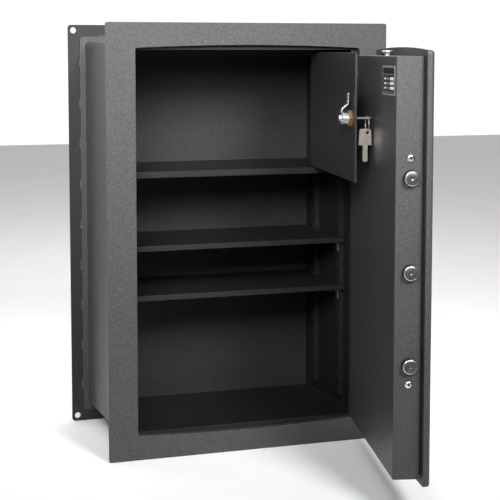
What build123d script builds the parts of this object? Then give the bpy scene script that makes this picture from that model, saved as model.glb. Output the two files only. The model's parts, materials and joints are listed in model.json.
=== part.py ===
"""Wall safe: a flanged steel cabinet with a hinged main door and a small inner door.

Millimetres, +Z up. The origin is the centre of the back of the rear plate, which is
also the centre of its four anchor holes. +Y points into the wall, so the front flange
faces -Y. Depths below are measured from the front of the flange towards the wall.
"""
from build123d import *
import math
import os

# ---- overall size ----
WIDTH = 450.0
HEIGHT = 660.0
DEPTH = 263.0
SHEET = 3.0

# ---- cabinet ----
BODY_W = 394.0
BODY_H = 604.0
BODY_R = 6.0
LIP = 9.0
FLANGE_R = 3.0
PLATE_R = 5.0
REBATE = 0.5               # depth of the step behind the flange that locates the shell
REBATE_GAP = 0.3
SHEET_GAP = 0.2            # play between the shell and the sheets fitted into it
OPEN_W = 360.0
OPEN_SIDE = 292.0          # half height of the opening at its corners
OPEN_MID = 296.5           # half height of the opening at its middle
OPEN_R = 4.0
OPEN_LIP = 2.0             # thickness of the turned lip round the opening
RECESS = 10.5
STOP_HALF_H = 289.0
STOP_LEFT = -184.0
STOP_RIGHT = 170.0
ANCHOR_X = 216.0
ANCHOR_Z = 321.0
ANCHOR_R = 5.0
WALL_X = BODY_W / 2 - SHEET
WALL_Z = BODY_H / 2 - SHEET
JAMB_HALF_H = 286.0
JAMB_V = (47.0, 50.0)
KEEPER_R = 12.0
WELD_LEG = 3.0
WELD_LENGTH = 18.0
SIDE_WELDS = 9
SIDE_WELD_PITCH = 67.0
END_WELDS = 6
END_WELD_PITCH = 66.0

# ---- shelves and rails ----
RAIL_DEPTHS = (91.0, 198.0)
RAIL_W = 16.0
RAIL_OUT = 8.0
RAIL_LOW = -280.0
RAIL_HIGH = 92.0
RAIL_PITCH = 26.0
RAIL_SKIN = 1.5
SLOT_HALF_W = 1.6
SLOT_HALF_H = 6.0
SLOT_BELOW = 20.0          # from a shelf's top down to the slot its clips hook into
CLIP_T = 1.5
CLIP_LEG = 12.0
CLIP_DROP = 24.0
CLIP_HALF_W = 5.0
SHELF_T = 1.2
SHELF_FOLD = 8.5
SHELF_RETURN = 8.0
SHELF_PLAY = 2.0
NOTCH_PLAY = 1.5
SHELF_FRONT = 80.0
SHELF_HALF_W = 190.5
MIDDLE_Z = -15.0
LOWER_Z = MIDDLE_Z - 3 * RAIL_PITCH
FLOOR_Z = 102.3            # top of the small compartment's floor
FLOOR_FRONT = 68.0
FLOOR_T = 1.5
FLOOR_FOLD = 10.0
FLOOR_RETURN = 9.0
LINER_T = 2.0              # sheet of the small compartment's side panel
STRIP_T = 1.5
STRIP_V = 91.0
STRIP_LEG = 15.0
STRIP_EDGE_X = -166.0
HEADER_Z = 279.0
PANEL_EDGE_X = 139.0
SIDE_LEG = 14.0
CORNER_CLEAR = 4.0         # keeps inside pieces off the shell's rounded corners

# ---- main door, given in its closed position ----
DOOR_OPEN = 76.6
HINGE_X = 214.0
HINGE_V = -7.5
HINGE_R = 7.0
PIN_R = 4.0
RUN_GAP = 0.05
HINGE_HEIGHTS = (190.0, -190.0)
KNUCKLE = 38.0
KNUCKLE_GAP = 0.4
FIXED_LEAF_V = (-5.0, 0.0)
MOVING_LEAF_V = -4.5
MOVING_LEAF_X = 150.0
PIN_HEAD = 2.0
PANEL_W = 353.0
PANEL_SIDE = 288.5
PANEL_MID = 293.0
PANEL_V = (-0.5, 9.0)
PANEL_R = 4.0
PANEL_ROUND = 4.5
SPACER_INSET = 4.0
SPACER_FRAME_X = 30.0
SPACER_FRAME_Z = 40.0
COVER_X = (-163.1, 166.3)
COVER_V = (11.7, 47.3)
COVER_HALF_H = 281.0
COVER_T = 2.0
COVER_ROUND = 1.2
HOLE_PLAY = 0.5
LABEL_X = (8.4, 88.9)      # from the cover's free edge
LABEL_Z = (229.0, 268.0)
LABEL_T = 0.8
SCREW_FROM_MIDDLE = 150.3
SCREW_HEAD_R = 5.0
SCREW_HEAD = 2.4
SCREW_R = 2.0
SCREW_LENGTH = 9.0
SOCKET_R = 2.6
SOCKET_FLOOR = 0.9
BRACKET_T = 3.0
BRACKET_FOOT = 14.0
BRACKET_HALF = 9.0
BOLT_V = 27.05
BOLT_R = 10.0
BOLT_Z0 = -2.0
BOLT_PITCH = 124.4
BOLT_OUT = 11.0
BOLT_CHAMFER = 1.2
GUIDE_BACK = 42.0
GUIDE_X = (6.0, 16.0)      # from the cover's free edge
GUIDE_HALF = 15.0
CARRIER_X = (-118.0, -110.0)
CARRIER_V = (17.0, 37.0)
CARRIER_HALF = 140.0
ARM_V = (34.0, 37.0)
ARM_END = -72.0
ARM_HALF = 16.0
ROD_R = 8.0
ROD_X = 0.0
ROD_TIP = 288.3
ROD_CHAMFER = 1.0
ROD_START = 26.0           # from the knob's height
ROD_FOOT_X = -34.0
ROD_FOOT_H = 12.0
ROD_GUIDE_HALF_W = 14.0
ROD_GUIDE_HALF_H = 4.0
ROD_GUIDE_INSET = 12.0
CASE_X = (-64.0, -12.0)
CASE_BACK = 32.0
CASE_LOW = 20.0
CASE_HIGH = 60.0
CASE_CHAMFER = 3.0
KNOB_X = -38.0
KNOB_Z = -40.0
KEYHOLE_Z = 35.0
SPINDLE_R = 6.0
SPINDLE_HOLE = 7.0
KEYHOLE_R = 5.0
KNOB_R = 20.0
KNOB_V = (-22.0, -3.5)
KNOB_CHAMFER = 2.0
GRIP_COUNT = 8
GRIP_AT = 23.0
GRIP_R = 5.5
GRIP_END = -8.0
PLATE_V = -2.5             # outer face of the escutcheon
PLATE_HALF_W = 24.0
PLATE_LOW = 32.0
PLATE_HIGH = 34.0
PLATE_ROUND = 10.0
SLOT_ROUND_R = 3.0
SLOT_HALF = 1.2
SLOT_DROP = 9.0
PLATE_SCREW_R = 3.5
PLATE_SCREW_H = 1.7
PLATE_SCREW_SLOT = 0.5
FLAP_V = (-5.1, -3.1)
FLAP_R = 10.0
FLAP_NECK_R = 5.0
FLAP_PIVOT = 14.0          # from the keyhole up to the rivet
RIVET_R = 1.6
RIVET_HEAD_R = 3.2
RIVET_HEAD_V = (-6.6, -5.4)
CAM_PLATE_V = (38.2, 43.0)
CAM_PLATE_R = 20.0
CAM_ARM = 28.0
CAM_ARM_HALF = 6.0
CUT = 5.0                  # how far cutting shapes run past what they cut

# ---- inner door, given in its closed position ----
INNER_OPEN = 79.9
PIVOT_X = 137.0
PIVOT_V = 83.3
PIVOT_R = 3.3
PIVOT_HEIGHTS = (245.0, 145.0)
PIVOT_PIN_R = 1.5
LEAF_X = (118.0, 155.0)
LEAF_V = 85.1
LEAF_HALF = 20.0
LEAF_GAP = 3.8
MID_KNUCKLE = 6.0
MID_GAP = 0.3
INNER_V = (86.6, 89.6)
INNER_W = 308.5
INNER_EDGE = 135.0
INNER_Z = (104.0, 285.5)
LOCK_X = INNER_EDGE - INNER_W + 23.0
LOCK_Z = 193.5
INNER_CHAMFER = 4.0
BARREL_R = 9.4
BARREL_HOLE = 9.5
BARREL_END = 102.4
BARREL_RIM_R = 12.0
BARREL_RIM = 2.0
NUT_R = 12.4
NUT_T = 5.5
PLUG_R = 6.0
PLUG_V = (-1.9, 102.6)     # its start is counted from the leaf's outer face
KEYWAY_HALF_W = 4.6
KEYWAY_HALF_H = 1.25
KEYWAY_END = 96.0
CAM_HALF_W = 5.5
CAM_T = 2.2
CAM_BACK = 104.8
CAM_NEAR = 93.8
CAM_LOW = 8.0
CAM_STEP = 17.0
CAM_HIGH = 35.0
CAM_ROUND = 4.0
CAM_SCREW_R = 4.2
CAM_SCREW_END = 108.0
CAM_SCREW_ROUND = 1.2

# ---- keys and ring ----
KEY_OUT = 25.0             # how far the turned key stands out of the door
KEY_T = 2.2
KEY_HALF = 9.4
BLADE_HALF = 3.6
BOW_LENGTH = 23.0
BOW_TAPER = 1.4
BOW_CORNER = 1.5
SPARE_LENGTH = 47.0
TURNED_LENGTH = 34.0
RIM = 3.4                  # half width of the bow's rim that the ring goes round
TURNED_HOLE_R = 3.2
TURNED_HOLE_DOWN = 6.0
SPARE_HOLE_R = 2.3
SPARE_HOLE = (-3.0, 5.0)
RING_R = 10.7
WIRE_R = 0.8
RING_DROP = 0.7
HANG_GAP = 0.15
RING_V = INNER_V[0] - KEY_OUT + TURNED_HOLE_DOWN
RING_X = LOCK_X - KEY_HALF + 1.0 + RIM
RING_Z = LOCK_Z - RING_R + WIRE_R + KEY_T / 2 + RING_DROP
HOLE_X = RING_X - LOCK_X + 6.3

nodes = {}


def block(x, v, z):
    """A box from its low and high x, depth and z."""
    size = Box(x[1] - x[0], v[1] - v[0], z[1] - z[0])
    return Pos((x[0] + x[1]) / 2, (v[0] + v[1]) / 2 - DEPTH, (z[0] + z[1]) / 2) * size


def rod(axis, centre, span, radius):
    """A cylinder along x, v or z; centre gives its other two coordinates."""
    length = span[1] - span[0]
    middle = (span[0] + span[1]) / 2
    if axis == "x":
        return Pos(middle, centre[0] - DEPTH, centre[1]) * Rot(0, 90, 0) * Cylinder(radius, length)
    if axis == "v":
        return Pos(centre[0], middle - DEPTH, centre[1]) * Rot(90, 0, 0) * Cylinder(radius, length)
    return Pos(centre[0], centre[1] - DEPTH, middle) * Cylinder(radius, length)


def upright_plate(face, v):
    """Extrude a sketch drawn in x and z between two depths."""
    solid = extrude(Plane.XZ * face, amount=v[1] - v[0])
    return Pos(0, v[1] - DEPTH, 0) * solid


def arched_face(half_w, side, mid, radius):
    """A rectangle whose top and bottom edges bow outwards."""
    top = ThreePointArc((-half_w, side), (0, mid), (half_w, side))
    right = Line((half_w, side), (half_w, -side))
    bottom = ThreePointArc((half_w, -side), (0, -mid), (-half_w, -side))
    left = Line((-half_w, -side), (-half_w, side))
    face = make_face([top, right, bottom, left])
    return fillet(face.vertices(), radius)


def rounded_tube(outer_w, outer_h, radius, wall, v):
    """An open-ended rectangular sleeve."""
    outside = RectangleRounded(outer_w, outer_h, radius)
    inside = RectangleRounded(outer_w - 2 * wall, outer_h - 2 * wall, max(radius - wall, 1.0))
    return upright_plate(outside - inside, v)


def with_main_door(shape):
    """Swing a closed-door shape to the open rest position."""
    pivot = Pos(HINGE_X, HINGE_V - DEPTH, 0)
    return pivot * Rot(0, 0, DOOR_OPEN) * pivot.inverse() * shape


def with_inner_door(shape):
    """Swing a shape on the inner door to its open rest position."""
    pivot = Pos(PIVOT_X, PIVOT_V - DEPTH, 0)
    return pivot * Rot(0, 0, INNER_OPEN) * pivot.inverse() * shape


def put(name, shapes, move=None):
    """Keep one node: a solid, or a group of separate solids."""
    group = shapes if isinstance(shapes, list) else [shapes]
    nodes[name] = [move(s) if move else s for s in group]


# ---- cabinet ----

def front_frame():
    """Flange with the lip turned in round the opening, and a step that locates the shell."""
    outline = RectangleRounded(WIDTH, HEIGHT, FLANGE_R)
    step = RectangleRounded(BODY_W + 2 * REBATE_GAP, BODY_H + 2 * REBATE_GAP, BODY_R)
    opening = arched_face(OPEN_W / 2, OPEN_SIDE, OPEN_MID, OPEN_R)
    turned = arched_face(OPEN_W / 2 + OPEN_LIP, OPEN_SIDE + OPEN_LIP, OPEN_MID + OPEN_LIP, OPEN_R + OPEN_LIP)
    plate = upright_plate(outline - opening, (0, SHEET - REBATE))
    plate += upright_plate(outline - step, (SHEET - REBATE, SHEET))
    return plate + upright_plate(turned - opening, (SHEET - REBATE, RECESS))


def door_stop_frame():
    ring = RectangleRounded(2 * (WALL_X - SHEET_GAP), 2 * (WALL_Z - SHEET_GAP), CORNER_CLEAR)
    hole = Pos((STOP_LEFT + STOP_RIGHT) / 2, 0) * Rectangle(STOP_RIGHT - STOP_LEFT, 2 * STOP_HALF_H)
    return upright_plate(ring - hole, (RECESS, RECESS + SHEET))


def bolt_heights():
    return [BOLT_Z0 + k * BOLT_PITCH for k in (1, 0, -1)]


def lock_jamb():
    """Angle behind the opening's left edge, with a keeper hole for each bolt."""
    z_span = (-JAMB_HALF_H, JAMB_HALF_H)
    jamb = block((STOP_LEFT, STOP_LEFT + SHEET), (RECESS, JAMB_V[1]), z_span)
    jamb += block((-WALL_X + SHEET_GAP, STOP_LEFT), JAMB_V, z_span)
    for z in bolt_heights():
        jamb -= rod("x", (BOLT_V, z), (STOP_LEFT - CUT, STOP_LEFT + SHEET + CUT), KEEPER_R)
    return jamb


def body_shell():
    """Sleeve from the flange to the rear plate, with a lip turned out at the back."""
    sleeve = rounded_tube(BODY_W, BODY_H, BODY_R, SHEET, (SHEET - REBATE, DEPTH - SHEET))
    lip_out = RectangleRounded(BODY_W + 2 * LIP, BODY_H + 2 * LIP, BODY_R)
    lip_in = RectangleRounded(BODY_W - SHEET, BODY_H - SHEET, BODY_R - SHEET / 2)
    return sleeve + upright_plate(lip_out - lip_in, (DEPTH - 2 * SHEET, DEPTH - SHEET))


def rear_plate():
    plate = upright_plate(RectangleRounded(WIDTH, HEIGHT, PLATE_R), (DEPTH - SHEET, DEPTH))
    for x in (-ANCHOR_X, ANCHOR_X):
        for z in (-ANCHOR_Z, ANCHOR_Z):
            plate -= rod("v", (x, z), (DEPTH - CUT, DEPTH + CUT), ANCHOR_R)
    return plate


def weld_bead():
    """A fillet weld run, three-sided, lying along z in the corner at the origin."""
    section = make_face(Polyline((0, 0), (-WELD_LEG, 0), (0, -WELD_LEG), (0, 0)))
    return Pos(0, 0, -WELD_LENGTH / 2) * extrude(section, amount=WELD_LENGTH)


def weld_beads():
    """Stitch welds that join the shell's rear lip to the rear plate."""
    beads = []
    lip_x = BODY_W / 2 + LIP
    lip_z = BODY_H / 2 + LIP
    for k in range(SIDE_WELDS):
        z = (k - (SIDE_WELDS - 1) / 2) * SIDE_WELD_PITCH
        beads.append(Pos(-lip_x, -SHEET, z) * weld_bead())
        beads.append(Pos(lip_x, -SHEET, z) * Rot(0, 180, 0) * weld_bead())
    for k in range(END_WELDS):
        x = (k - (END_WELDS - 1) / 2) * END_WELD_PITCH
        beads.append(Pos(x, -SHEET, lip_z) * Rot(0, 90, 0) * weld_bead())
        beads.append(Pos(x, -SHEET, -lip_z) * Rot(0, -90, 0) * weld_bead())
    return beads


def rail_slot_heights():
    """Slot centres, set so that a clip under each shelf meets a slot."""
    low = LOWER_Z - SLOT_BELOW
    below = int((low - RAIL_LOW) / RAIL_PITCH)
    above = int((RAIL_HIGH - SLOT_HALF_H - low) / RAIL_PITCH)
    return [low + k * RAIL_PITCH for k in range(-below, above + 1)]


def shelf_rail(side, v):
    """Slotted channel fixed upright to the side wall."""
    face = WALL_X - RAIL_OUT
    middle = v + RAIL_W / 2
    rail = block((face, WALL_X), (v, v + RAIL_W), (RAIL_LOW, RAIL_HIGH))
    hollow_v = (v + RAIL_SKIN, v + RAIL_W - RAIL_SKIN)
    rail -= block((face + RAIL_SKIN, WALL_X + CUT), hollow_v, (RAIL_LOW - CUT, RAIL_HIGH + CUT))
    for z in rail_slot_heights():
        slot_v = (middle - SLOT_HALF_W, middle + SLOT_HALF_W)
        rail -= block((face - CUT, face + CUT), slot_v, (z - SLOT_HALF_H, z + SLOT_HALF_H))
    return rail if side > 0 else mirror(rail, about=Plane.YZ)


def shelf_clip(side, v, shelf_z):
    """An angle that hooks a rail slot and carries one corner of a shelf."""
    face = WALL_X - RAIL_OUT
    under = shelf_z - SHELF_T
    hook_z = shelf_z - SLOT_BELOW
    middle = v + RAIL_W / 2
    clip_v = (middle - CLIP_HALF_W, middle + CLIP_HALF_W)
    clip = block((face - CLIP_LEG, face), clip_v, (under - CLIP_T, under))
    clip += block((face - CLIP_T, face), clip_v, (under - CLIP_DROP, under))
    clip += block((face, face + 5), (middle - 1, middle + 1), (hook_z - 4, hook_z + 4))
    return clip if side > 0 else mirror(clip, about=Plane.YZ)


def shelf_clips():
    sides = (-1, 1)
    levels = (MIDDLE_Z, LOWER_Z)
    return [shelf_clip(s, v, z) for s in sides for v in RAIL_DEPTHS for z in levels]


def loose_shelf(top):
    """Sheet folded down front and back, and notched round the four rails."""
    back = DEPTH - SHEET - SHELF_PLAY
    x = (-SHELF_HALF_W, SHELF_HALF_W)
    low = top - SHELF_FOLD
    shelf = block(x, (SHELF_FRONT, back), (top - SHELF_T, top))
    shelf += block(x, (SHELF_FRONT, SHELF_FRONT + SHELF_T), (low, top))
    shelf += block(x, (SHELF_FRONT, SHELF_FRONT + SHELF_RETURN), (low, low + SHELF_T))
    shelf += block(x, (back - SHELF_T, back), (low, top))
    notch = WALL_X - RAIL_OUT - HOLE_PLAY
    for v in RAIL_DEPTHS:
        notch_v = (v - NOTCH_PLAY, v + RAIL_W + NOTCH_PLAY)
        for side in (-1, 1):
            notch_x = sorted((side * notch, side * (SHELF_HALF_W + CUT)))
            shelf -= block(notch_x, notch_v, (low - CUT, top + CUT))
    return shelf


def treasury_floor():
    """Fixed sheet under the small compartment, folded down at the front."""
    x = (-WALL_X + SHEET_GAP, WALL_X - SHEET_GAP)
    low = FLOOR_Z - FLOOR_FOLD
    floor = block(x, (FLOOR_FRONT, DEPTH - SHEET - SHEET_GAP), (FLOOR_Z - FLOOR_T, FLOOR_Z))
    floor += block(x, (FLOOR_FRONT, FLOOR_FRONT + FLOOR_T), (low, FLOOR_Z))
    return floor + block(x, (FLOOR_FRONT, FLOOR_FRONT + FLOOR_RETURN), (low, low + FLOOR_T))


def treasury_side_panel():
    """Angle beside the small door that carries its hinges."""
    z = (FLOOR_Z, WALL_Z - CORNER_CLEAR)
    edge = WALL_X - SHEET_GAP
    wall = block((PANEL_EDGE_X, edge), (INNER_V[0], INNER_V[0] + LINER_T), z)
    return wall + block((edge - LINER_T, edge), (INNER_V[0], INNER_V[0] + SIDE_LEG), z)


def treasury_catch_strip():
    """Angle on the left wall that the small door shuts against and its cam hooks behind."""
    z = (FLOOR_Z, HEADER_Z - SHEET_GAP)
    edge = -WALL_X + SHEET_GAP
    strip = block((edge, STRIP_EDGE_X), (STRIP_V, STRIP_V + STRIP_T), z)
    return strip + block((edge, edge + LINER_T), (STRIP_V, STRIP_V + STRIP_LEG), z)


def treasury_header():
    """Angle along the roof above the small door."""
    x = (-WALL_X + CORNER_CLEAR, WALL_X - CORNER_CLEAR)
    top = WALL_Z - SHEET_GAP
    header = block(x, (STRIP_V, STRIP_V + STRIP_T), (HEADER_Z, top))
    return header + block(x, (STRIP_V, STRIP_V + STRIP_LEG - LINER_T), (top - LINER_T, top))


# ---- main hinges ----

def fixed_hinge(z):
    """Lower knuckle, on a block welded to the flange."""
    span = (z - KNUCKLE, z - KNUCKLE_GAP)
    barrel = rod("z", (HINGE_X, HINGE_V), span, HINGE_R)
    barrel += block((HINGE_X, WIDTH / 2 - 1), FIXED_LEAF_V, span)
    return barrel - rod("z", (HINGE_X, HINGE_V), (z - KNUCKLE - CUT, z + CUT), PIN_R + RUN_GAP)


def moving_hinge(z):
    """Upper knuckle, on a strap across the door's outer face."""
    span = (z + KNUCKLE_GAP, z + KNUCKLE)
    barrel = rod("z", (HINGE_X, HINGE_V), span, HINGE_R)
    barrel += block((MOVING_LEAF_X, HINGE_X), (MOVING_LEAF_V, PANEL_V[0]), span)
    return barrel - rod("z", (HINGE_X, HINGE_V), (z - CUT, z + KNUCKLE + CUT), PIN_R + RUN_GAP)


def hinge_pin(z):
    """Pin through both knuckles, with a head under the lower one."""
    low = z - KNUCKLE
    pin = rod("z", (HINGE_X, HINGE_V), (low, z + KNUCKLE), PIN_R)
    return pin + rod("z", (HINGE_X, HINGE_V), (low - PIN_HEAD, low), HINGE_R - 1)


# ---- main door ----

def door_panel():
    """Outer plate with bowed top and bottom and a rounded outer rim."""
    panel = upright_plate(arched_face(PANEL_W / 2, PANEL_SIDE, PANEL_MID, PANEL_R), PANEL_V)
    front = panel.faces().sort_by(Axis.Y)[0]
    panel = fillet(front.edges(), PANEL_ROUND)
    through = (PANEL_V[0] - CUT, PANEL_V[1] + CUT)
    panel -= rod("v", (KNOB_X, KNOB_Z), through, SPINDLE_HOLE)
    return panel - rod("v", (KNOB_X, KEYHOLE_Z), through, KEYHOLE_R)


def door_spacer():
    """Narrower frame between panel and cover, seen as the dark groove."""
    x = (COVER_X[0] + SPACER_INSET, COVER_X[1] - SPACER_INSET)
    half = COVER_HALF_H - SPACER_INSET
    spacer = block(x, (PANEL_V[1], COVER_V[0]), (-half, half))
    hole_x = (x[0] + SPACER_FRAME_X, x[1] - SPACER_FRAME_X)
    hole_half = half - SPACER_FRAME_Z
    return spacer - block(hole_x, (PANEL_V[1] - CUT, COVER_V[0] + CUT), (-hole_half, hole_half))


def door_cover():
    """Folded pan that closes the boltwork from inside."""
    half = COVER_HALF_H
    pan = block(COVER_X, COVER_V, (-half, half))
    outer_edges = pan.faces().sort_by(Axis.Y)[-1].edges()
    pan = fillet(outer_edges, COVER_ROUND)
    x = (COVER_X[0] + COVER_T, COVER_X[1] - COVER_T)
    pan -= block(x, (COVER_V[0] - CUT, COVER_V[1] - COVER_T), (-half + COVER_T, half - COVER_T))
    for z in bolt_heights():
        pan -= rod("x", (BOLT_V, z), (COVER_X[0] - CUT, COVER_X[0] + CUT), BOLT_R + HOLE_PLAY)
    for z in screw_heights():
        for edge in COVER_X:
            pan -= rod("x", (BOLT_V, z), (edge - CUT, edge + CUT), SCREW_R + HOLE_PLAY / 2)
    for z in (-half, half):
        pan -= rod("z", (ROD_X, BOLT_V), (z - CUT, z + CUT), ROD_R + HOLE_PLAY)
    return pan


def screw_heights():
    return [BOLT_Z0 + s * SCREW_FROM_MIDDLE for s in (1, -1)]


def cover_screw(side, z):
    """Screw with a socket head, put in through the cover's edge."""
    edge = COVER_X[0] if side < 0 else COVER_X[1]
    head = rod("x", (BOLT_V, z), sorted((edge, edge + side * SCREW_HEAD)), SCREW_HEAD_R)
    head += rod("x", (BOLT_V, z), sorted((edge, edge - side * SCREW_LENGTH)), SCREW_R)
    socket = sorted((edge + side * SOCKET_FLOOR, edge + side * CUT))
    return head - rod("x", (BOLT_V, z), socket, SOCKET_R)


def cover_bracket(side, z):
    """Angle inside the cover that takes a cover screw."""
    edge = COVER_X[0] + COVER_T if side < 0 else COVER_X[1] - COVER_T
    z_span = (z - BRACKET_HALF, z + BRACKET_HALF)
    tab_x = sorted((edge, edge - side * BRACKET_T))
    foot_x = sorted((edge, edge - side * BRACKET_FOOT))
    tab = block(tab_x, (COVER_V[0], BOLT_V + BRACKET_HALF), z_span)
    tab += block(foot_x, (COVER_V[0], COVER_V[0] + BRACKET_T), z_span)
    return tab - rod("x", (BOLT_V, z), (edge - CUT, edge + CUT), SCREW_R + RUN_GAP)


def label_plate():
    """Data plate on the cover."""
    x = (COVER_X[0] + LABEL_X[0], COVER_X[0] + LABEL_X[1])
    plate = block(x, (COVER_V[1], COVER_V[1] + LABEL_T), LABEL_Z)
    return fillet(plate.edges().filter_by(Axis.Y), 2.0)


def bolt_guide(z):
    """Bearing block that steadies one bolt behind the cover's edge."""
    x = (COVER_X[0] + GUIDE_X[0], COVER_X[0] + GUIDE_X[1])
    guide = block(x, (COVER_V[0], GUIDE_BACK), (z - GUIDE_HALF, z + GUIDE_HALF))
    return guide - rod("x", (BOLT_V, z), (x[0] - CUT, x[1] + CUT), BOLT_R + RUN_GAP)


def rod_guide(sign):
    """Bearing block that steadies an end rod near the cover's end."""
    z = sign * (COVER_HALF_H - ROD_GUIDE_INSET)
    x = (ROD_X - ROD_GUIDE_HALF_W, ROD_X + ROD_GUIDE_HALF_W)
    guide = block(x, (COVER_V[0], GUIDE_BACK), (z - ROD_GUIDE_HALF_H, z + ROD_GUIDE_HALF_H))
    return guide - rod("z", (ROD_X, BOLT_V), (z - 2 * CUT, z + 2 * CUT), ROD_R + RUN_GAP)


def sliding_bolt(z):
    tip = COVER_X[0] - BOLT_OUT
    bolt = rod("x", (BOLT_V, z), (tip, CARRIER_X[0]), BOLT_R)
    return chamfer(bolt.faces().sort_by(Axis.X)[0].edges(), BOLT_CHAMFER)


def bolt_carrier():
    """Bar that ties the three bolts together, with an arm that reaches to the cam."""
    carrier = block(CARRIER_X, CARRIER_V, (BOLT_Z0 - CARRIER_HALF, BOLT_Z0 + CARRIER_HALF))
    return carrier + block((CARRIER_X[1], ARM_END), ARM_V, (KNOB_Z - ARM_HALF, KNOB_Z + ARM_HALF))


def end_rod(sign):
    """Upright locking rod with a foot that reaches to the cam."""
    start = KNOB_Z + sign * ROD_START
    bar = rod("z", (ROD_X, BOLT_V), sorted((start, sign * ROD_TIP)), ROD_R)
    tip = bar.faces().sort_by(Axis.Z)[-1 if sign > 0 else 0]
    bar = chamfer(tip.edges(), ROD_CHAMFER)
    return bar + block((ROD_FOOT_X, ROD_X), ARM_V, sorted((start, start + sign * ROD_FOOT_H)))


def lock_case():
    """Case of the key lock, left solid, with the keyhole through it."""
    case = block(CASE_X, (COVER_V[0], CASE_BACK), (KEYHOLE_Z - CASE_LOW, KEYHOLE_Z + CASE_HIGH))
    case = chamfer(case.edges().filter_by(Axis.Y), CASE_CHAMFER)
    return case - rod("v", (KNOB_X, KEYHOLE_Z), (COVER_V[0] - CUT, CASE_BACK + CUT), KEYHOLE_R)


def escutcheon():
    """Cover plate round the knob and the keyhole."""
    x = (KNOB_X - PLATE_HALF_W, KNOB_X + PLATE_HALF_W)
    plate = block(x, (PLATE_V, PANEL_V[0]), (KNOB_Z - PLATE_LOW, KEYHOLE_Z + PLATE_HIGH))
    plate = fillet(plate.edges().filter_by(Axis.Y), PLATE_ROUND)
    plate -= rod("v", (KNOB_X, KNOB_Z), (-CUT, CUT), SPINDLE_HOLE)
    plate -= rod("v", (KNOB_X, KEYHOLE_Z), (-CUT, CUT), SLOT_ROUND_R)
    slot_x = (KNOB_X - SLOT_HALF, KNOB_X + SLOT_HALF)
    return plate - block(slot_x, (-CUT, CUT), (KEYHOLE_Z - SLOT_DROP, KEYHOLE_Z))


def escutcheon_screws():
    screws = []
    inset = 6.0
    top = PLATE_V - PLATE_SCREW_H
    for z in (KNOB_Z - PLATE_LOW + inset, KEYHOLE_Z + PLATE_HIGH - inset):
        head = rod("v", (KNOB_X, z), (top, PLATE_V), PLATE_SCREW_R)
        slot_x = (KNOB_X - CUT, KNOB_X + CUT)
        slot_z = (z - PLATE_SCREW_SLOT, z + PLATE_SCREW_SLOT)
        screws.append(head - block(slot_x, (top - CUT, top + PLATE_SCREW_SLOT), slot_z))
    return screws


def keyhole_cover():
    """Drop-shaped flap that hangs over the keyhole."""
    pivot_z = KEYHOLE_Z + FLAP_PIVOT
    flap = rod("v", (KNOB_X, KEYHOLE_Z - 2), FLAP_V, FLAP_R)
    flap += rod("v", (KNOB_X, pivot_z), FLAP_V, FLAP_NECK_R)
    flap += block((KNOB_X - FLAP_NECK_R, KNOB_X + FLAP_NECK_R), FLAP_V, (KEYHOLE_Z, pivot_z))
    return flap - rod("v", (KNOB_X, pivot_z), (FLAP_V[0] - 1, FLAP_V[1] + 1), RIVET_R + RUN_GAP)


def keyhole_rivet():
    centre = (KNOB_X, KEYHOLE_Z + FLAP_PIVOT)
    rivet = rod("v", centre, (RIVET_HEAD_V[1], PLATE_V), RIVET_R)
    return rivet + rod("v", centre, RIVET_HEAD_V, RIVET_HEAD_R)


def handle_knob():
    """Round knob with finger grooves round its rim."""
    knob = rod("v", (KNOB_X, KNOB_Z), KNOB_V, KNOB_R)
    knob = chamfer(knob.faces().sort_by(Axis.Y)[0].edges(), KNOB_CHAMFER)
    for k in range(GRIP_COUNT):
        angle = 2 * math.pi * k / GRIP_COUNT
        x = KNOB_X + GRIP_AT * math.cos(angle)
        z = KNOB_Z + GRIP_AT * math.sin(angle)
        knob -= rod("v", (x, z), (KNOB_V[0] - 1, GRIP_END), GRIP_R)
    return knob


def handle_spindle():
    return rod("v", (KNOB_X, KNOB_Z), (KNOB_V[1], CAM_PLATE_V[1]), SPINDLE_R)


def drive_cam():
    """Cam plate on the spindle that draws the bolt carrier and the end rods."""
    cam = rod("v", (KNOB_X, KNOB_Z), CAM_PLATE_V, CAM_PLATE_R)
    cam += block((KNOB_X - CAM_ARM, KNOB_X), CAM_PLATE_V, (KNOB_Z - CAM_ARM_HALF, KNOB_Z + CAM_ARM_HALF))
    through = (CAM_PLATE_V[0] - CUT, CAM_PLATE_V[1] + CUT)
    return cam - rod("v", (KNOB_X, KNOB_Z), through, SPINDLE_R + RUN_GAP)


# ---- inner door ----

def inner_door():
    leaf = block((INNER_EDGE - INNER_W, INNER_EDGE), INNER_V, INNER_Z)
    corner = leaf.edges().filter_by(Axis.Y).sort_by(Axis.Z)[-2:].sort_by(Axis.X)[0]
    leaf = chamfer(corner, INNER_CHAMFER)
    return leaf - rod("v", (LOCK_X, LOCK_Z), (INNER_V[0] - CUT, INNER_V[1] + CUT), BARREL_HOLE)


def pivot_leaf(z, moving):
    """Half of a small butt hinge: the door half has the middle knuckle."""
    leaf_v = (LEAF_V, INNER_V[0])
    if moving:
        spans = [(z - MID_KNUCKLE, z + MID_KNUCKLE)]
        x = (LEAF_X[0], PIVOT_X)
        leaf_x = (LEAF_X[0], PIVOT_X - LEAF_GAP)
    else:
        end = MID_KNUCKLE + MID_GAP
        spans = [(z - LEAF_HALF, z - end), (z + end, z + LEAF_HALF)]
        x = (PIVOT_X, LEAF_X[1])
        leaf_x = (PIVOT_X + LEAF_GAP, LEAF_X[1])
    leaf = block(leaf_x, leaf_v, (z - LEAF_HALF, z + LEAF_HALF))
    for low, high in spans:
        leaf += block(x, leaf_v, (low, high))
        leaf += rod("z", (PIVOT_X, PIVOT_V), (low, high), PIVOT_R)
    for low, high in spans:
        leaf -= rod("z", (PIVOT_X, PIVOT_V), (low, high), PIVOT_PIN_R + RUN_GAP)
    return leaf


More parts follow.
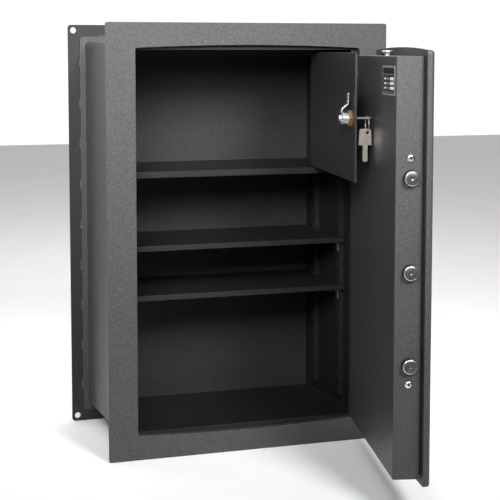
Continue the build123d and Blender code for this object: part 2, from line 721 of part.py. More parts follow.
def pivot_pin(z):
    return rod("z", (PIVOT_X, PIVOT_V), (z - LEAF_HALF, z + LEAF_HALF), PIVOT_PIN_R)


def lock_barrel():
    """Body of the cam lock, with its rim outside the door."""
    centre = (LOCK_X, LOCK_Z)
    rim = INNER_V[0] - BARREL_RIM
    barrel = rod("v", centre, (INNER_V[0], BARREL_END), BARREL_R)
    barrel += rod("v", centre, (rim, INNER_V[0]), BARREL_RIM_R)
    return barrel - rod("v", centre, (rim - CUT, BARREL_END + CUT), PLUG_R + RUN_GAP)


def lock_nut():
    hexagon = Pos(LOCK_X, LOCK_Z) * RegularPolygon(NUT_R, 6)
    nut_v = (INNER_V[1], INNER_V[1] + NUT_T)
    hole = rod("v", (LOCK_X, LOCK_Z), (nut_v[0] - CUT, nut_v[1] + CUT), BARREL_R + RUN_GAP)
    return upright_plate(hexagon, nut_v) - hole


def lock_plug():
    """Turning core of the cam lock, with the keyway in its outer end."""
    start = INNER_V[0] + PLUG_V[0]
    plug = rod("v", (LOCK_X, LOCK_Z), (start, PLUG_V[1]), PLUG_R)
    keyway_x = (LOCK_X - KEYWAY_HALF_W, LOCK_X + KEYWAY_HALF_W)
    keyway_z = (LOCK_Z - KEYWAY_HALF_H, LOCK_Z + KEYWAY_HALF_H)
    return plug - block(keyway_x, (start - CUT, KEYWAY_END), keyway_z)


def lock_cam():
    """Cranked cam: flat on the plug, then stepped towards the door's inner face."""
    x = (LOCK_X - CAM_HALF_W, LOCK_X + CAM_HALF_W)
    step_z = (LOCK_Z + CAM_STEP - CAM_T, LOCK_Z + CAM_STEP)
    cam = block(x, (CAM_BACK - CAM_T, CAM_BACK), (LOCK_Z - CAM_LOW, step_z[1]))
    cam += block(x, (CAM_NEAR, CAM_BACK), step_z)
    cam += block(x, (CAM_NEAR, CAM_NEAR + CAM_T), (step_z[0], LOCK_Z + CAM_HIGH))
    return fillet(cam.edges().filter_by(Axis.Y).sort_by(Axis.Z)[-2:], CAM_ROUND)


def cam_screw():
    screw = rod("v", (LOCK_X, LOCK_Z), (CAM_BACK, CAM_SCREW_END), CAM_SCREW_R)
    return fillet(screw.faces().sort_by(Axis.Y)[-1].edges(), CAM_SCREW_ROUND)


def key_outline(length):
    """Flat key: blade at the start, tapered bow at the end."""
    shoulder = length - BOW_LENGTH
    narrow = KEY_HALF - BOW_TAPER
    top = narrow - BOW_CORNER
    tip = 2.0
    half = [(0, 0), (BLADE_HALF, tip), (BLADE_HALF, shoulder), (KEY_HALF, shoulder),
            (narrow, length - BOW_CORNER), (top, length)]
    other = [(-x, y) for x, y in reversed(half)]
    return make_face(Polyline(*half, *other))


def turned_key():
    """The key in the lock: its bow lies flat and its blade is in the plug."""
    hole = Pos(-HOLE_X, TURNED_LENGTH - TURNED_HOLE_DOWN) * Circle(TURNED_HOLE_R)
    key = extrude(key_outline(TURNED_LENGTH) - hole, amount=KEY_T)
    tip = INNER_V[0] - KEY_OUT + TURNED_LENGTH
    return Pos(LOCK_X, tip - DEPTH, LOCK_Z - KEY_T / 2) * Rot(0, 0, 180) * key


def key_ring():
    return Pos(RING_X, RING_V - DEPTH, RING_Z) * Rot(90, 0, 0) * Torus(RING_R, WIRE_R)


def spare_key():
    """Hangs from the foot of the ring, square to it, with its hole off centre."""
    hole = (SPARE_HOLE[0], SPARE_LENGTH - SPARE_HOLE[1])
    key = extrude(key_outline(SPARE_LENGTH) - Pos(*hole) * Circle(SPARE_HOLE_R), amount=KEY_T)
    upright = Rot(0, 0, 90) * Rot(90, 0, 0) * Pos(0, 0, -KEY_T / 2) * key
    hole_z = RING_Z - RING_R + WIRE_R - SPARE_HOLE_R + HANG_GAP
    return Pos(RING_X, RING_V - DEPTH - hole[0], hole_z - hole[1]) * upright


def build_cabinet():
    put("front_frame", front_frame())
    put("door_stop_frame", door_stop_frame())
    put("lock_jamb", lock_jamb())
    put("body_shell", body_shell())
    put("rear_plate", rear_plate())
    put("weld_beads", weld_beads())
    put("shelf_clips", shelf_clips())
    put("middle_shelf", loose_shelf(MIDDLE_Z))
    put("lower_shelf", loose_shelf(LOWER_Z))
    for side, word in ((-1, "left"), (1, "right")):
        for v, place in zip(RAIL_DEPTHS, ("front", "rear")):
            put("shelf_rail_" + word + "_" + place, shelf_rail(side, v))
    put("treasury_floor", treasury_floor())
    put("treasury_side_panel", treasury_side_panel())
    put("treasury_catch_strip", treasury_catch_strip())
    put("treasury_header", treasury_header())
    put("hinge_fixed_knuckles", [fixed_hinge(z) for z in HINGE_HEIGHTS])
    put("hinge_pins", [hinge_pin(z) for z in HINGE_HEIGHTS])
    put("treasury_hinge_frame_leaves", [pivot_leaf(z, False) for z in PIVOT_HEIGHTS])
    put("treasury_hinge_pins", [pivot_pin(z) for z in PIVOT_HEIGHTS])


def build_main_door():
    swing = with_main_door
    put("door_panel", door_panel(), swing)
    put("door_spacer", door_spacer(), swing)
    put("door_cover", door_cover(), swing)
    put("cover_screws", [cover_screw(s, z) for s in (-1, 1) for z in screw_heights()], swing)
    put("cover_brackets", [cover_bracket(s, z) for s in (-1, 1) for z in screw_heights()], swing)
    put("label_plate", label_plate(), swing)
    put("hinge_moving_knuckles", [moving_hinge(z) for z in HINGE_HEIGHTS], swing)
    put("bolt_guides", [bolt_guide(z) for z in bolt_heights()], swing)
    put("end_rod_guides", [rod_guide(s) for s in (1, -1)], swing)
    put("lock_case", lock_case(), swing)
    put("escutcheon", escutcheon(), swing)
    put("escutcheon_screws", escutcheon_screws(), swing)
    put("keyhole_rivet", keyhole_rivet(), swing)
    put("keyhole_cover", keyhole_cover(), swing)
    put("handle_knob", handle_knob(), swing)
    put("handle_spindle", handle_spindle(), swing)
    put("drive_cam", drive_cam(), swing)
    put("bolt_carrier", bolt_carrier(), swing)
    for name, z in zip(("upper", "middle", "lower"), bolt_heights()):
        put("bolt_" + name, sliding_bolt(z), swing)
    put("end_rod_top", end_rod(1), swing)
    put("end_rod_bottom", end_rod(-1), swing)


def build_inner_door():
    swing = with_inner_door
    put("treasury_door", inner_door(), swing)
    put("treasury_hinge_door_leaves", [pivot_leaf(z, True) for z in PIVOT_HEIGHTS], swing)
    put("treasury_lock_barrel", lock_barrel(), swing)
    put("treasury_lock_nut", lock_nut(), swing)
    put("treasury_lock_plug", lock_plug(), swing)
    put("treasury_lock_cam", lock_cam(), swing)
    put("treasury_cam_screw", cam_screw(), swing)
    put("turned_key", turned_key(), swing)
    put("key_ring", key_ring(), swing)
    put("spare_key", spare_key(), swing)


os.makedirs("parts", exist_ok=True)
build_cabinet()
build_main_door()
build_inner_door()
for node_name, solids in nodes.items():
    shape = solids[0] if len(solids) == 1 else Compound(children=solids)
    export_step(shape, "parts/" + node_name + ".step")
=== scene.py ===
"""Looks of the wall safe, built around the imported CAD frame. Metres, in the frame's axes."""
import json
import math

import bmesh
import bpy
from mathutils import Matrix, Vector

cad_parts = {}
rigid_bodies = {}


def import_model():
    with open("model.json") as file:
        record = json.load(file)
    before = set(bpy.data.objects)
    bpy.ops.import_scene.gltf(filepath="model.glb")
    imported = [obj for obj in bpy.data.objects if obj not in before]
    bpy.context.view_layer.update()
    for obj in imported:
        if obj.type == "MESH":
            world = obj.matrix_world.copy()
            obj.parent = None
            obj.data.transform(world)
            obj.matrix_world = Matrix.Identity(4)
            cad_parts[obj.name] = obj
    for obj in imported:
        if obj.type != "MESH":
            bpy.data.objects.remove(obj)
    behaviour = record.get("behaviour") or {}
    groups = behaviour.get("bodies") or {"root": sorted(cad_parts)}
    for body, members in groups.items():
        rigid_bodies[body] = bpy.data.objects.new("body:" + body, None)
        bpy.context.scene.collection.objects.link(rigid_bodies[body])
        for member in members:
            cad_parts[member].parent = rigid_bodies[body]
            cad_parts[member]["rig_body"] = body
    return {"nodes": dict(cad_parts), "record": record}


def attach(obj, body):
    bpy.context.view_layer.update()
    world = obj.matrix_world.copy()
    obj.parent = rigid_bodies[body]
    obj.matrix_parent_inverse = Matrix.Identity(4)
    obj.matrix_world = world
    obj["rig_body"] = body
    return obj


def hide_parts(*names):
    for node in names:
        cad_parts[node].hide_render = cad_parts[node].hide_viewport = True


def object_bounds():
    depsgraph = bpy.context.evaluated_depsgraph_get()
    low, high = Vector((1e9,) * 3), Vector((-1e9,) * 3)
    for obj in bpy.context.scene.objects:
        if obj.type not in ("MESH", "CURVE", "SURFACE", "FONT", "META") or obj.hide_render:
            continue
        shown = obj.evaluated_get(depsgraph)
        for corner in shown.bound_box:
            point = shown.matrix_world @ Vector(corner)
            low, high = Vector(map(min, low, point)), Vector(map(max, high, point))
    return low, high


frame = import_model()
CAD_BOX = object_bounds()
NODES = frame["nodes"]
JOINTS = {joint["name"]: joint for joint in frame["record"]["behaviour"]["joints"]}
SLOTS = {part["node"]: part["material_slot"] for part in frame["record"]["subparts"]}
MM = 0.001
STAYS = Matrix.Identity(4)

# ---- settings ----

X, Y, Z = range(3)
NOISE_LOW, NOISE_HIGH = 0.3, 0.7           # noise lies mostly between these
SPECKLE_LOW, SPECKLE_HIGH = 0.36, 0.66     # a narrower stretch makes the speckle crisper

# powder coat, grains in features per metre
SPECKLE_GRAIN = 800
GLOSS_GRAIN = 450
PEBBLE_GRAIN = 620
PEBBLE_ROUGHNESS = 0.65
PEBBLE_STRENGTH = 0.5
PEBBLE_HEIGHT = 0.4 * MM

# plated metal and paint
FINE_HEIGHT = 0.1 * MM
METAL_RELIEF = 0.12
PAINT_RELIEF = 0.1

# how far the roughness strays below and above its mean
COAT_STRAYS = (0.05, 0.07)
METAL_STRAYS = (0.04, 0.06)
PAINT_STRAYS = (0.05, 0.05)

JOIN_GAP = 0.004 * MM          # points closer than this are one point
FLAT_DEG = 0.3                 # triangles this close to flat are one face
ROUND_SIDES = 48
BEVEL_SEGMENTS = 2
LARGE_FACE_WEIGHT = 80         # shading follows the large faces, out of 100

# studio: brightness of the surroundings in front of the safe and behind it
FRONT_DIM = 0.17
BACK_BRIGHT = 1.08
TURNS_BRIGHT = (-0.1, 0.75)    # Y of the directions between which they brighten
FLOOR_REACH = 7.0
FLOOR_GAP = 0.3 * MM

CAMERA_AT = (-0.7161, -2.3060, 0.2882)
CAMERA_DOWN_DEG = 5.6
CAMERA_TURN_DEG = -19.29
SENSOR_WIDTH = 36              # mm, as is the focal length
FOCAL_LENGTH = 102.44
FRAME_SHIFT = -0.12            # stands for the crop that left the photo's verticals parallel


# ---- materials ----

def new_material(name):
    """A node material, with its tree and its shader."""
    material = bpy.data.materials.new(name)
    material.use_nodes = True
    return material, material.node_tree, material.node_tree.nodes["Principled BSDF"]


def noise(tree, grain, detail=3.0, roughness=0.6):
    """3-D noise in object coordinates, with grain in features per metre."""
    place = tree.nodes.new("ShaderNodeTexCoord")
    texture = tree.nodes.new("ShaderNodeTexNoise")
    texture.inputs["Scale"].default_value = grain
    texture.inputs["Detail"].default_value = detail
    texture.inputs["Roughness"].default_value = roughness
    tree.links.new(place.outputs["Object"], texture.inputs["Vector"])
    return texture.outputs["Fac"]


def color_between(tree, shader, source, dark, light, low=NOISE_LOW, high=NOISE_HIGH):
    """Base colour that runs from dark to light as the noise goes from low to high."""
    node = tree.nodes.new("ShaderNodeValToRGB")
    start, end = node.color_ramp.elements
    start.position = low
    start.color = (*dark, 1)
    end.position = high
    end.color = (*light, 1)
    tree.links.new(source, node.inputs["Fac"])
    tree.links.new(node.outputs["Color"], shader.inputs["Base Color"])


def roughness_about(tree, shader, source, rough, strays):
    """Roughness that follows the noise and strays a little to either side of rough."""
    node = tree.nodes.new("ShaderNodeMapRange")
    node.inputs["From Min"].default_value = NOISE_LOW
    node.inputs["From Max"].default_value = NOISE_HIGH
    node.inputs["To Min"].default_value = rough - strays[0]
    node.inputs["To Max"].default_value = rough + strays[1]
    tree.links.new(source, node.inputs["Value"])
    tree.links.new(node.outputs["Result"], shader.inputs["Roughness"])


def bump(tree, shader, source, strength, height):
    """Relief that follows the noise."""
    node = tree.nodes.new("ShaderNodeBump")
    node.inputs["Strength"].default_value = strength
    node.inputs["Distance"].default_value = height
    tree.links.new(source, node.inputs["Height"])
    tree.links.new(node.outputs["Normal"], shader.inputs["Normal"])


def powder_coat(name, dark, light, rough, shine):
    """Fine textured powder coat: pebbled grain, faint speckle, soft gloss."""
    material, tree, shader = new_material(name)
    speckle = noise(tree, SPECKLE_GRAIN, detail=2.0)
    color_between(tree, shader, speckle, dark, light, SPECKLE_LOW, SPECKLE_HIGH)
    roughness_about(tree, shader, noise(tree, GLOSS_GRAIN), rough, COAT_STRAYS)
    pebbles = noise(tree, PEBBLE_GRAIN, roughness=PEBBLE_ROUGHNESS)
    bump(tree, shader, pebbles, PEBBLE_STRENGTH, PEBBLE_HEIGHT)
    shader.inputs["Specular IOR Level"].default_value = shine
    return material


def metal(name, dark, light, rough, grain=260):
    """Plated metal with faint mottling and finer handling marks."""
    material, tree, shader = new_material(name)
    marks = noise(tree, grain * 3)
    dents = noise(tree, grain * 6)
    color_between(tree, shader, noise(tree, grain), dark, light)
    roughness_about(tree, shader, marks, rough, METAL_STRAYS)
    bump(tree, shader, dents, METAL_RELIEF, FINE_HEIGHT)
    shader.inputs["Metallic"].default_value = 1.0
    return material


def paint(name, dark, light, rough, grain):
    """Plain paint, very slightly uneven."""
    material, tree, shader = new_material(name)
    gloss = noise(tree, grain * 2)
    dents = noise(tree, grain * 3)
    color_between(tree, shader, noise(tree, grain), dark, light)
    roughness_about(tree, shader, gloss, rough, PAINT_STRAYS)
    bump(tree, shader, dents, PAINT_RELIEF, FINE_HEIGHT)
    return material


def grey(level):
    """A neutral colour."""
    return (level, level, level)


COAT = powder_coat(
    "coat", dark=(0.018, 0.0175, 0.018), light=(0.056, 0.0545, 0.055), rough=0.40, shine=0.42,
)
# darker coat for the rear plate and the treasury door: painted shade, the real paint is the same as the coat
# above
PAINTED_SHADE_COAT = powder_coat(
    "painted_shade_coat", dark=(0.008, 0.008, 0.009), light=(0.024, 0.024, 0.026), rough=0.46, shine=0.26,
)
# darkest coat for the parts inside the cabinet: painted shade, the real paint is the same as the coat
INNER_PAINTED_SHADE_COAT = powder_coat(
    "inner_painted_shade_coat", dark=(0.004, 0.004, 0.0045), light=(0.013, 0.013, 0.014), rough=0.48, shine=0.22,
)
ZINC = metal("zinc", dark=(0.50, 0.51, 0.53), light=(0.72, 0.73, 0.76), rough=0.26)
CHROME = metal("chrome", dark=(0.78, 0.78, 0.79), light=(0.90, 0.90, 0.91), rough=0.10)
SATIN = metal("satin", dark=(0.30, 0.30, 0.31), light=(0.44, 0.44, 0.45), rough=0.32, grain=500)
GUNMETAL = metal("gunmetal", dark=(0.055, 0.058, 0.062), light=(0.15, 0.155, 0.16), rough=0.34, grain=420)
BRASS = metal("brass", dark=(0.42, 0.27, 0.08), light=(0.66, 0.46, 0.17), rough=0.30)
NICKEL = metal("nickel", dark=(0.40, 0.37, 0.33), light=(0.62, 0.58, 0.52), rough=0.34, grain=300)
GROOVE = paint("groove", grey(0.004), grey(0.009), rough=0.7, grain=400)
LABEL_BLACK = paint("label_black", grey(0.004), grey(0.009), rough=0.4, grain=900)
LABEL_SILVER = paint("label_silver", grey(0.16), grey(0.22), rough=0.45, grain=900)
LABEL_PALE = paint("label_pale", dark=(0.55, 0.55, 0.54), light=(0.70, 0.70, 0.69), rough=0.5, grain=900)
FLOOR = paint("floor_paint", grey(0.90), grey(0.93), rough=0.75, grain=6)

LOOK_OF_SLOT = {
    "powder_coat": COAT, "dark_steel": GROOVE, "zinc": ZINC, "chrome": CHROME,
    "brass": BRASS, "nickel": NICKEL, "label": LABEL_BLACK,
}
BOLTS = ("bolt_upper", "bolt_middle", "bolt_lower")
# nodes that look darker or duller than the rest of their slot: the two darker coats are painted shade on
# parts that lie in shade, the metals are their own finish
OTHER_LOOKS = {
    INNER_PAINTED_SHADE_COAT: (
        "door_stop_frame", "lock_jamb", "middle_shelf", "lower_shelf", "treasury_floor", "treasury_header",
        "treasury_side_panel", "treasury_catch_strip", "shelf_rail_left_front", "shelf_rail_left_rear",
        "shelf_rail_right_front", "shelf_rail_right_rear",
    ),
    PAINTED_SHADE_COAT: ("rear_plate", "treasury_door"),
    GUNMETAL: BOLTS,
    SATIN: ("escutcheon", "keyhole_cover", "handle_knob"),
}


def look_of(node):
    """The node's own look if it has one, or else its slot's."""
    for look, nodes in OTHER_LOOKS.items():
        if node in nodes:
            return look
    return LOOK_OF_SLOT[SLOTS[node]]


# ---- reading the frame ----

def joined(node):
    """The node's mesh as a bmesh, with its seams joined."""
    work = bmesh.new()
    work.from_mesh(NODES[node].data)
    bmesh.ops.remove_doubles(work, verts=work.verts, dist=JOIN_GAP)
    return work


def finished(work, place=STAYS):
    """The bmesh as a mesh, moved to its place."""
    bmesh.ops.recalc_face_normals(work, faces=work.faces)
    mesh = bpy.data.meshes.new("mesh")
    work.to_mesh(mesh)
    work.free()
    mesh.transform(place)
    return mesh


def clean_copy(node):
    """The node's mesh with its seams joined and its flat triangles merged."""
    work = joined(node)
    limit = math.radians(FLAT_DEG)
    bmesh.ops.dissolve_limit(work, angle_limit=limit, verts=work.verts, edges=work.edges)
    return finished(work)


def turning(joint):
    """Rotation that takes a shut door to its rest position, and its inverse."""
    swing = JOINTS[joint]
    pivot = Matrix.Translation(swing["pos_m"])
    opened = pivot @ Matrix.Rotation(math.radians(-swing["range_deg"][0]), 4, "Z") @ pivot.inverted()
    return opened, opened.inverted()


DOOR_OPEN, DOOR_SHUT = turning("main_door_hinge")
INNER_OPEN, INNER_SHUT = turning("inner_door_hinge")


def islands(node, to_shut=STAYS):
    """Low and high corners of each separate solid in a node, once to_shut has shut its door."""
    work = joined(node)
    seen = set()
    boxes = []
    for start in work.verts:
        if start in seen:
            continue
        group = [start]
        seen.add(start)
        for vert in group:
            for edge in vert.link_edges:
                other = edge.other_vert(vert)
                if other not in seen:
                    seen.add(other)
                    group.append(other)
        points = [to_shut @ vert.co for vert in group]
        low = Vector([min(point[k] for point in points) for k in range(3)])
        high = Vector([max(point[k] for point in points) for k in range(3)])
        boxes.append((low, high))
    work.free()
    return boxes


# ---- making pieces ----

def piece(node, mesh, *looks):
    """A finer mesh that rides on the node's body, takes its slot and stands in its place."""
    made = bpy.data.objects.new(node + ".fine", mesh)
    bpy.context.scene.collection.objects.link(made)
    for look in looks or (look_of(node),):
        mesh.materials.append(look)
    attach(made, NODES[node]["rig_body"])
    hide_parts(node)
    return made


def smooth(made, crisp_deg):
    """Smooth shading, with edges sharper than crisp_deg kept crisp."""
    work = bmesh.new()
    work.from_mesh(made.data)
    bmesh.ops.recalc_face_normals(work, faces=work.faces)
    for face in work.faces:
        face.smooth = True
    for edge in work.edges:
        closed = len(edge.link_faces) == 2
        edge.smooth = closed and edge.calc_face_angle(math.pi) < math.radians(crisp_deg)
    work.to_mesh(made.data)
    work.free()


def soften(made, width, crisp_deg=35):
    """Round every edge sharper than crisp_deg, by width in mm, and let the faces meet smoothly."""
    smooth(made, crisp_deg)
    edge = made.modifiers.new("edge", "BEVEL")
    edge.width = width * MM
    edge.segments = BEVEL_SEGMENTS
    edge.limit_method = "ANGLE"
    edge.angle_limit = math.radians(crisp_deg)
    edge.harden_normals = False
    flat = made.modifiers.new("flat", "WEIGHTED_NORMAL")
    flat.keep_sharp = False
    flat.weight = LARGE_FACE_WEIGHT
    ready = made.evaluated_get(bpy.context.evaluated_depsgraph_get())
    mesh = bpy.data.meshes.new_from_object(ready)
    made.modifiers.clear()
    made.data = mesh


def ring(work, middle, axis, radius, sides=ROUND_SIDES):
    """A circle of points round a middle, square to an axis."""
    first, second = [k for k in range(3) if k != axis]
    points = []
    for k in range(sides):
        turn = 2 * math.pi * k / sides
        spot = Vector(middle)
        spot[first] += radius * math.cos(turn)
        spot[second] += radius * math.sin(turn)
        points.append(work.verts.new(spot))
    return points


def lathe(work, axis, centre, profile, sides=ROUND_SIDES, second_look=None):
    """Turn (place, radius) pairs, in mm along and from the axis; a zero radius closes an end.

    The band with the index second_look, if there is one, takes the piece's second look.
    """
    circles = []
    for place, radius in profile:
        middle = Vector(centre)
        middle[axis] += place * MM
        if radius:
            circles.append(ring(work, middle, axis, radius * MM, sides))
        else:
            circles.append([work.verts.new(middle)])
    for band, (first, second) in enumerate(zip(circles, circles[1:])):
        for k in range(sides):
            n = (k + 1) % sides
            if len(first) == 1:
                corners = (first[0], second[k], second[n])
            elif len(second) == 1:
                corners = (first[k], first[n], second[0])
            else:
                corners = (first[k], first[n], second[n], second[k])
            work.faces.new(corners).material_index = int(band == second_look)


def prism(work, outline, axis, low, high, look=0):
    """Extrude a closed outline of points, given in the other two axes, along an axis."""
    first, second = [k for k in range(3) if k != axis]
    layers = []
    for place in (low, high):
        layer = []
        for across, up in outline:
            corner = Vector()
            corner[axis] = place
            corner[first] = across
            corner[second] = up
            layer.append(work.verts.new(corner))
        layers.append(layer)
    bottom, top = layers
    count = len(outline)
    for k in range(count):
        n = (k + 1) % count
        work.faces.new((bottom[k], bottom[n], top[n], top[k])).material_index = look
    for layer in layers:
        work.faces.new(layer).material_index = look


# ---- detailed pieces ----

# bevel in mm: nodes whose CAD shape is right and only needs rounded edges
REFINED = {
    0.2: ("treasury_hinge_frame_leaves", "escutcheon_screws", "treasury_hinge_door_leaves"),
    0.25: ("shelf_clips",),
    0.3: ("treasury_hinge_pins", "keyhole_rivet", "treasury_lock_plug"),
    0.4: (
        "middle_shelf", "lower_shelf", "treasury_catch_strip", "treasury_header", "door_spacer",
        "cover_brackets", "keyhole_cover", "treasury_cam_screw", "turned_key", "spare_key",
    ),
    0.5: (
        "door_stop_frame", "lock_jamb", "shelf_rail_left_front", "shelf_rail_left_rear",
        "shelf_rail_right_front", "shelf_rail_right_rear", "treasury_floor", "treasury_side_panel",
        "hinge_fixed_knuckles", "hinge_moving_knuckles", "bolt_guides", "end_rod_guides",
        "end_rod_top", "end_rod_bottom", "escutcheon", "handle_spindle", "drive_cam",
    ),
    0.6: ("hinge_pins", "lock_case", "bolt_carrier"),
    0.7: ("rear_plate", "treasury_lock_nut"),
    0.8: ("door_panel", "door_cover", "handle_knob", "treasury_door"),
    0.9: ("front_frame",),
}


def rounded_nodes():
    """Every node in REFINED, with its edges rounded."""
    for width, nodes in REFINED.items():
        for node in nodes:
            soften(piece(node, clean_copy(node)), width)


def body_shell():
    """Folded sleeve whose inside faces, deep in the cabinet, take a darker coat as painted shade."""
    made = piece("body_shell", clean_copy("body_shell"), COAT, INNER_PAINTED_SHADE_COAT)
    soften(made, 0.9)
    for face in made.data.polygons:
        sideways = abs(face.normal.y) < 0.5
        inwards = face.normal.x * face.center.x + face.normal.z * face.center.z < 0
        # inside walls take the darkest coat as painted shade
        if sideways and inwards:
            face.material_index = 1


def weld_beads():
    """Rippled stitch welds, each inside the CAD bead's own box."""
    ripples = 9
    ripple_depth = 0.16
    thinnest = 0.05
    taper = 6          # each end narrows over a sixth of the length
    steps = ripples * 6
    arc = 6
    work = bmesh.new()
    for low, high in islands("weld_beads"):
        size = high - low
        along = Z if size.z > size.x else X
        across = X if along == Z else Z
        outwards = -1 if low[across] + high[across] < 0 else 1
        root = low[across] if outwards > 0 else high[across]
        rows = []
        for k in range(steps + 1):
            part = k / steps
            ends = min(1.0, taper * part, taper * (1 - part)) ** 0.5
            ripple = 1 - ripple_depth + ripple_depth * abs(math.sin(math.pi * ripples * part))
            swell = max(thinnest, ends * ripple)
            row = []
            for j in range(arc + 1):
                turn = math.pi / 2 * j / arc
                spot = Vector((0, high.y - size.y * swell * math.sin(turn), 0))
                spot[along] = low[along] + size[along] * part
                spot[across] = root + outwards * size[across] * swell * math.cos(turn)
                row.append(work.verts.new(spot))
            rows.append(row)
        for first, second in zip(rows, rows[1:]):
            for j in range(arc):
                work.faces.new((first[j], first[j + 1], second[j + 1], second[j]))
        for row in (rows[0], rows[-1]):
            foot = work.verts.new(row[0].co)
            foot.co[across] = root
            for j in range(arc):
                work.faces.new((row[j], row[j + 1], foot))
    smooth(piece("weld_beads", finished(work)), 50)


def bolts():
    """Turned bolts with a chamfer in lighter zinc as a painted highlight ring, and a centre mark in the end
    face.
    """
    centre_mark = [(0.9, 0), (0.25, 1.5), (0.05, 2.1), (0, 2.6)]
    for node in BOLTS:
        low, high = islands(node, DOOR_SHUT)[0]
        centre = Vector((low.x, (low.y + high.y) / 2, (low.z + high.z) / 2))
        radius = (high.z - low.z) / 2 / MM
        length = (high.x - low.x) / MM
        chamfer = [(0, radius - 1.9), (0.25, radius - 1.3), (1.1, radius - 0.15), (1.5, radius)]
        shank = [(length, radius), (length, 0)]
        # the chamfer's middle band takes zinc over the dark bolt: a painted highlight ring
        painted_highlight_band = len(centre_mark) + 1      # the band in the middle of the chamfer
        work = bmesh.new()
        lathe(work, X, centre, centre_mark + chamfer + shank, second_look=painted_highlight_band)
        smooth(piece(node, finished(work, DOOR_OPEN), GUNMETAL, ZINC), 25)


def cover_screws():
    """Button-head screws with a round socket whose floor is painted dark as painted shade."""
    socket_depth, socket_radius = 1.5, 1.7
    head_height = 2.4
    shank_radius = 2
    work = bmesh.new()
    for low, high in islands("cover_screws", DOOR_SHUT):
        inwards = 1 if low.x < 0 else -1
        tip = low.x if inwards > 0 else high.x
        centre = Vector((tip, (low.y + high.y) / 2, (low.z + high.z) / 2))
        radius = (high.z - low.z) / 2 / MM
        length = (high.x - low.x) / MM
        socket = [(socket_depth, 0), (socket_depth, socket_radius), (0, 1.9)]
        dome = [(0, 2.3), (0.35, 3.6), (0.9, radius - 0.45), (1.5, radius)]
        shank = [(head_height, radius), (head_height, shank_radius), (length, shank_radius), (length, 0)]
        profile = [(inwards * place, reach) for place, reach in socket + dome + shank]
        # band 0, the socket's floor, takes the near-black groove paint: painted shade in the recess
        lathe(work, X, centre, profile, sides=36, second_look=0)
    smooth(piece("cover_screws", finished(work, DOOR_OPEN), CHROME, GROOVE), 28)


def label_plate():
    """Black data plate with a silver frame, rules and plain pale cells."""
    low, high = islands("label_plate", DOOR_SHUT)[0]
    black, silver, pale = range(3)
    # how far each layer reaches through the plate's thickness
    frame_layer = (0, 0.7)
    face_layer = (0.7, 0.8)
    rule_layer = (0.8, 0.9)
    cell_layer = (0.8, 1.0)
    work = bmesh.new()

    def at(fractions, axis):
        return [low[axis] + part * (high[axis] - low[axis]) for part in fractions]

    def panel(across, up, layer, look):
        """A flat block over fractions of the plate's width, height and thickness."""
        left, right = at(across, X)
        bottom, top = at(up, Z)
        back, front = at(layer, Y)
        outline = [(left, bottom), (right, bottom), (right, top), (left, top)]
        prism(work, outline, Y, back, front, look)

    panel((0, 1), (0, 1), frame_layer, silver)
    panel((0.045, 0.955), (0.06, 0.94), face_layer, black)
    for base in (0.10, 0.70):
        panel((0.06, 0.94), (base, base + 0.02), rule_layer, silver)
    panel((0.62, 0.64), (0.10, 0.72), rule_layer, silver)
    for base in (0.18, 0.34, 0.50):
        panel((0.08, 0.36), (base + 0.02, base + 0.12), cell_layer, pale)
        panel((0.42, 0.58), (base + 0.03, base + 0.09), cell_layer, silver)
        panel((0.70, 0.84), (base + 0.03, base + 0.09), cell_layer, pale)
    piece("label_plate", finished(work, DOOR_OPEN), LABEL_BLACK, LABEL_SILVER, LABEL_PALE)


def cam():
    """Cranked cam bent from strip, with soft bends in place of the CAD's square ones."""
    low, high = islands("treasury_lock_cam", INNER_SHUT)[0]
    half = 1.1 * MM        # half the strip's thickness
    back = high.y - half
    near = low.y + half
    bend = 0.6 * MM        # how far each bend moves the strip across
    slope = 4.4 * MM       # how far the slope has moved it half way up
    leaves, rises, half_way, eases, arrives = [low.z + up * MM for up in (19.5, 21.6, 24.6, 27.4, 29.4)]
    route = [
        (back, low.z), (back, leaves), (back - bend, rises), (back - slope, half_way),
        (near + bend, eases), (near, arrives), (near, high.z),
    ]
    left = []
    right = []
    for k, (y, z) in enumerate(route):
        before = Vector(route[max(k - 1, 0)])
        after = Vector(route[min(k + 1, len(route) - 1)])
        run = (after - before).normalized()
        left.append((y + run.y * half, z - run.x * half))
        right.append((y - run.y * half, z + run.x * half))
    work = bmesh.new()
    prism(work, left + right[::-1], X, low.x, high.x)
    soften(piece("treasury_lock_cam", finished(work, INNER_OPEN)), 0.5, 40)


def lock_barrel():
    """Barrel with a visible thread behind the door and a plain rim in front."""
    low, high = islands("treasury_lock_barrel", INNER_SHUT)[0]
    centre = Vector(((low.x + high.x) / 2, low.y, (low.z + high.z) / 2))
    bore = 6.05
    rim = (high.x - low.x) / 2 / MM
    length = (high.y - low.y) / MM
    crest = 9.4
    root = crest - 0.55
    thread_start = 5.5
    thread_end = length - 0.3
    pitch = 1.0
    profile = [(0, bore), (0, rim - 1.2), (0.9, rim), (2, rim), (2, crest), (thread_start, crest)]
    place = thread_start
    while place + pitch < thread_end:
        profile.append((place + pitch / 2, root))
        profile.append((place + pitch, crest))
        place += pitch
    profile += [(length, crest - 0.5), (length, bore), (0, bore)]
    work = bmesh.new()
    lathe(work, Y, centre, profile)
    bmesh.ops.remove_doubles(work, verts=work.verts, dist=0.001 * MM)
    smooth(piece("treasury_lock_barrel", finished(work, INNER_OPEN)), 25)


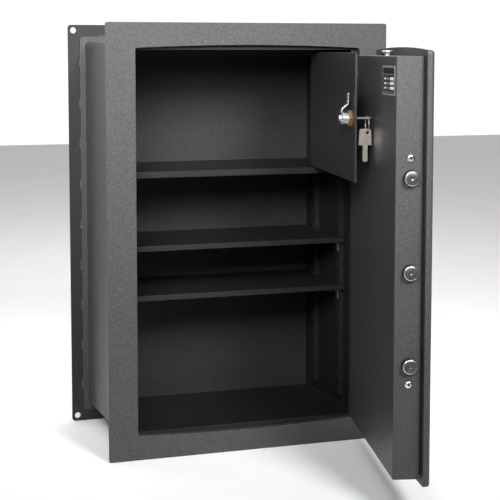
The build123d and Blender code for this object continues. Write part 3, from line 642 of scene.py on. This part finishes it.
def key_ring():
    """Split ring: two thin turns of wire side by side."""
    low, high = islands("key_ring", INNER_SHUT)[0]
    centre = (low + high) / 2
    wire = (high.y - low.y) / 4
    flattened = 1.3        # the wire is this much wider than it is thick
    margin = 0.05
    width = wire * flattened
    radius = (high.x - low.x) / 2 - wire * (flattened + margin)
    around = 64
    section = 12
    work = bmesh.new()
    for shift in (-wire, wire):
        loops = []
        for j in range(section):
            roll = 2 * math.pi * j / section
            middle = centre + Vector((0, shift + wire * math.sin(roll), 0))
            loops.append(ring(work, middle, Y, radius + width * math.cos(roll), around))
        for j in range(section):
            after = loops[(j + 1) % section]
            for k in range(around):
                n = (k + 1) % around
                work.faces.new((loops[j][k], loops[j][n], after[n], after[k]))
    smooth(piece("key_ring", finished(work, INNER_OPEN)), 60)


# ---- stage ----

def floor():
    """Pale ground just under the safe."""
    level = CAD_BOX[0][2] - FLOOR_GAP
    corners = [(-1, -1), (1, -1), (1, 1), (-1, 1)]
    work = bmesh.new()
    work.faces.new([work.verts.new((x * FLOOR_REACH, y * FLOOR_REACH, level)) for x, y in corners])
    mesh = finished(work)
    mesh.materials.append(FLOOR)
    ground = bpy.data.objects.new("floor", mesh)
    bpy.context.scene.collection.objects.link(ground)


def world_light():
    """White studio all round, dimmer on the side that the safe's front faces."""
    world = bpy.data.worlds.new("studio")
    bpy.context.scene.world = world
    world.use_nodes = True
    tree = world.node_tree
    background = tree.nodes["Background"]
    place = tree.nodes.new("ShaderNodeTexCoord")
    split = tree.nodes.new("ShaderNodeSeparateXYZ")
    level = tree.nodes.new("ShaderNodeMapRange")
    level.interpolation_type = "SMOOTHSTEP"
    level.inputs["From Min"].default_value = TURNS_BRIGHT[0]
    level.inputs["From Max"].default_value = TURNS_BRIGHT[1]
    level.inputs["To Min"].default_value = FRONT_DIM
    level.inputs["To Max"].default_value = BACK_BRIGHT
    tree.links.new(place.outputs["Generated"], split.inputs["Vector"])
    tree.links.new(split.outputs["Y"], level.inputs["Value"])
    tree.links.new(level.outputs["Result"], background.inputs["Strength"])
    background.inputs["Color"].default_value = (1, 1, 1, 1)


def area_light(name, at, towards, size, power, spread_deg=180):
    """A square softbox, with a grid over it where spread_deg is small."""
    lamp = bpy.data.lights.new(name, "AREA")
    lamp.spread = math.radians(spread_deg)
    lamp.energy = power
    lamp.size = size
    lit = bpy.data.objects.new(name, lamp)
    bpy.context.scene.collection.objects.link(lit)
    lit.location = at
    lit.rotation_euler = (Vector(towards) - Vector(at)).to_track_quat("-Z", "Y").to_euler()


def camera():
    """Left of the safe and a little lower than its top, looking slightly down."""
    data = bpy.data.cameras.new("camera")
    data.sensor_width = SENSOR_WIDTH
    data.lens = FOCAL_LENGTH
    data.shift_y = FRAME_SHIFT
    seen_from = bpy.data.objects.new("camera", data)
    bpy.context.scene.collection.objects.link(seen_from)
    seen_from.location = CAMERA_AT
    seen_from.rotation_euler = (math.radians(90 - CAMERA_DOWN_DEG), 0, math.radians(CAMERA_TURN_DEG))
    bpy.context.scene.camera = seen_from


# ---- the scene ----

for name, node in NODES.items():
    node.data.materials.clear()
    node.data.materials.append(look_of(name))
rounded_nodes()
body_shell()
weld_beads()
bolts()
cover_screws()
label_plate()
cam()
lock_barrel()
key_ring()

floor()
world_light()
area_light("key", at=(-0.75, -1.6, 0.80), towards=(-0.15, -0.27, 0.34), size=0.7, power=7.4, spread_deg=49)
area_light("door_light", at=(0.30, -2.2, 1.1), towards=(0.28, -0.6, 0.26), size=0.6, power=5.5, spread_deg=44)
area_light("top", at=(0.1, -0.1, 2.4), towards=(0.1, -0.1, 0), size=3.0, power=42)
camera()
bpy.context.scene.view_settings.view_transform = "Standard"
